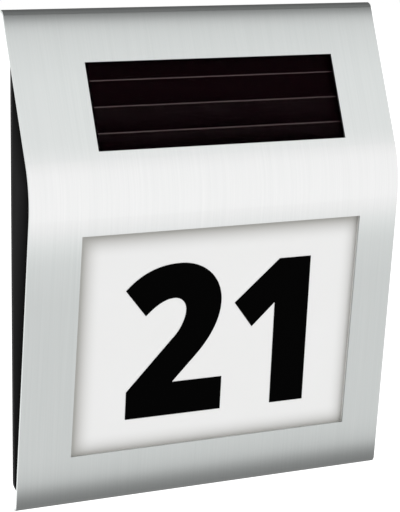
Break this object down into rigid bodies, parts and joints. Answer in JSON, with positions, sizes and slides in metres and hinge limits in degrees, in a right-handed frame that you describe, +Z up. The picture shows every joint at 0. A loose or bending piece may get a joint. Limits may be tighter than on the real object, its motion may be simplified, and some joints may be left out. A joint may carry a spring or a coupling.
{
  "type": "solar house number light",
  "caption": "Wall-hung solar house number light: bent brushed steel face with a solar window above a lit opal number panel, on a slim black housing.",
  "frame": {"origin": "middle of the flat back of the rear cover, which rests on the wall", "axes": "+Y into the wall, so the face looks along -Y; +Z up; +X to the viewer's right"},
  "size_m": [0.155, 0.0309, 0.18],
  "materials": {
    "stainless_sheet": "vertically brushed",
    "black_abs": "moulded, fine satin",
    "foam": "closed-cell foam",
    "seal_cord": "smooth silicone",
    "panel_glass": "polished",
    "cell_silicon": "dark amorphous film",
    "back_lacquer": "lacquer",
    "sealant": "silicone bead",
    "opal_acrylic": "satin opal",
    "white_abs": "moulded gloss",
    "zinc_screw": "zinc plated",
    "circuit_board": "solder mask",
    "lamp_body": "moulded resin with phosphor",
    "chip_epoxy": "moulded epoxy",
    "ferrite": "ground ferrite",
    "can_aluminium": "drawn can",
    "resistor_ceramic": "glazed",
    "switch_steel": "nickel plated",
    "phenolic": "laminate",
    "black_pom": "moulded",
    "cell_sleeve": "shrink sleeve",
    "contact_brass": "nickel-washed brass strip",
    "spring_steel": "nickel plated wire",
    "lead_red": "extruded vinyl",
    "lead_black": "extruded vinyl",
    "black_vinyl": "cut self-adhesive numerals"
  },
  "bodies": {
    "casing": {"face_plate": "stainless_sheet", "plate_tape": "foam", "housing": "black_abs", "solar_glass": "panel_glass", "solar_cells": "cell_silicon", "solar_backing": "back_lacquer", "solar_bond": "sealant", "diffuser": "opal_acrylic", "diffuser_seal": "foam", "reflector_tray": "white_abs", "tray_screws": "zinc_screw", "led_board": "circuit_board", "leds": "lamp_body", "control_board": "circuit_board", "driver_chip": "chip_epoxy", "inductor": "ferrite", "capacitor": "can_aluminium", "board_resistors": "resistor_ceramic", "board_screws": "zinc_screw", "switch_frame": "switch_steel", "switch_base": "phenolic", "rear_cover": "black_abs", "cover_seal": "seal_cord", "cover_screws": "zinc_screw", "battery_cell": "cell_sleeve", "battery_spring": "spring_steel", "negative_contact": "contact_brass", "positive_contact": "contact_brass", "solar_lead_red": "lead_red", "solar_lead_black": "lead_black", "battery_lead_red": "lead_red", "battery_lead_black": "lead_black", "lamp_lead_red": "lead_red", "lamp_lead_black": "lead_black"},
    "switch": {"switch_knob": "black_pom"},
    "door": {"battery_door": "black_abs", "door_seal": "foam", "door_screws": "zinc_screw"}
  },
  "joints": [
    {"name": "switch_slide", "type": "slide", "parent": "casing", "child": "switch", "axis": [1, 0, 0], "range_m": [0, 0.002]},
    {"name": "door_lift_off", "type": "slide", "parent": "casing", "child": "door", "axis": [0, 1, 0], "range_m": [0, 0.025]}
  ]
}
